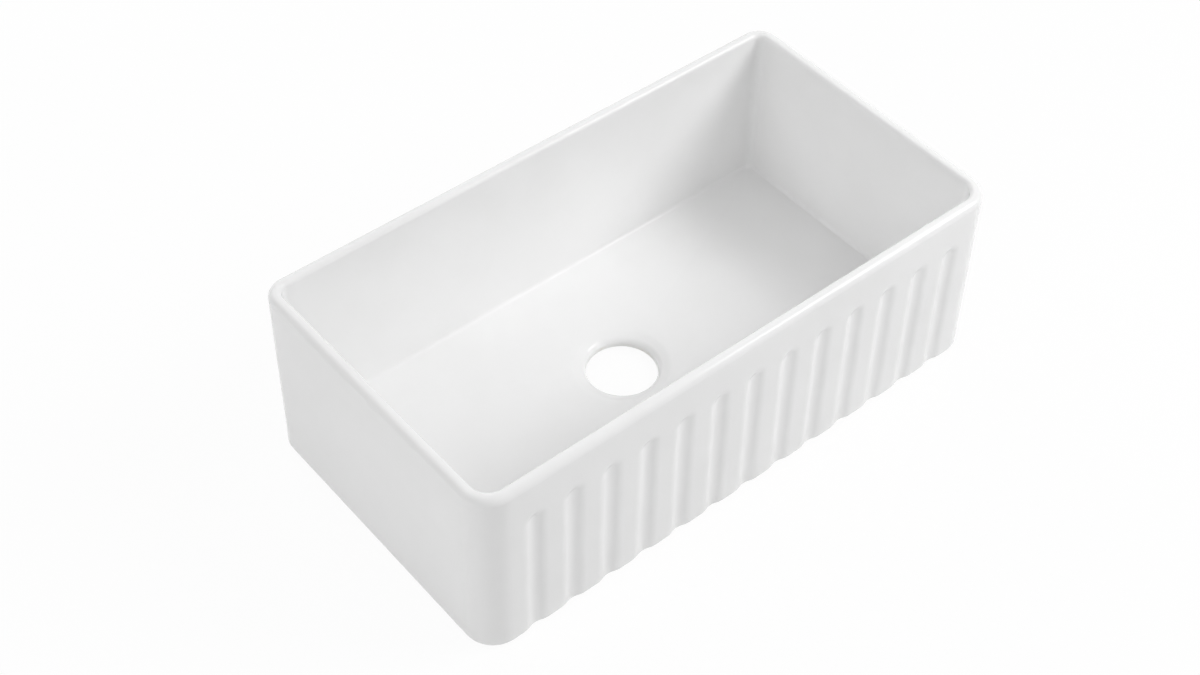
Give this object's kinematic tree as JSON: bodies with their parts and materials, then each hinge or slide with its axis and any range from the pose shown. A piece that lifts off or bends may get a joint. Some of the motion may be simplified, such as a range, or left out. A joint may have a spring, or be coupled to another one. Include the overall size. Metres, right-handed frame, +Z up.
{
  "type": "farmhouse apron front sink",
  "caption": "Rectangular single-bowl kitchen sink in glazed fireclay, with an upright fluted apron front, rounded rim, sloped floor and an empty round drain hole.",
  "frame": {"origin": "middle of the base, on the surface that the sink stands on", "axes": "+X along the length to the right as seen from the front, -Y out of the fluted apron, +Z up out of the bowl"},
  "size_m": [0.762, 0.41, 0.255],
  "materials": {
    "bare_fireclay": "bare fired clay, matt and slightly gritty",
    "white_glaze": "thick fired glaze, high gloss"
  },
  "bodies": {
    "root": {"fireclay_body": "bare_fireclay", "glaze_coat": "white_glaze"}
  },
  "joints": []
}
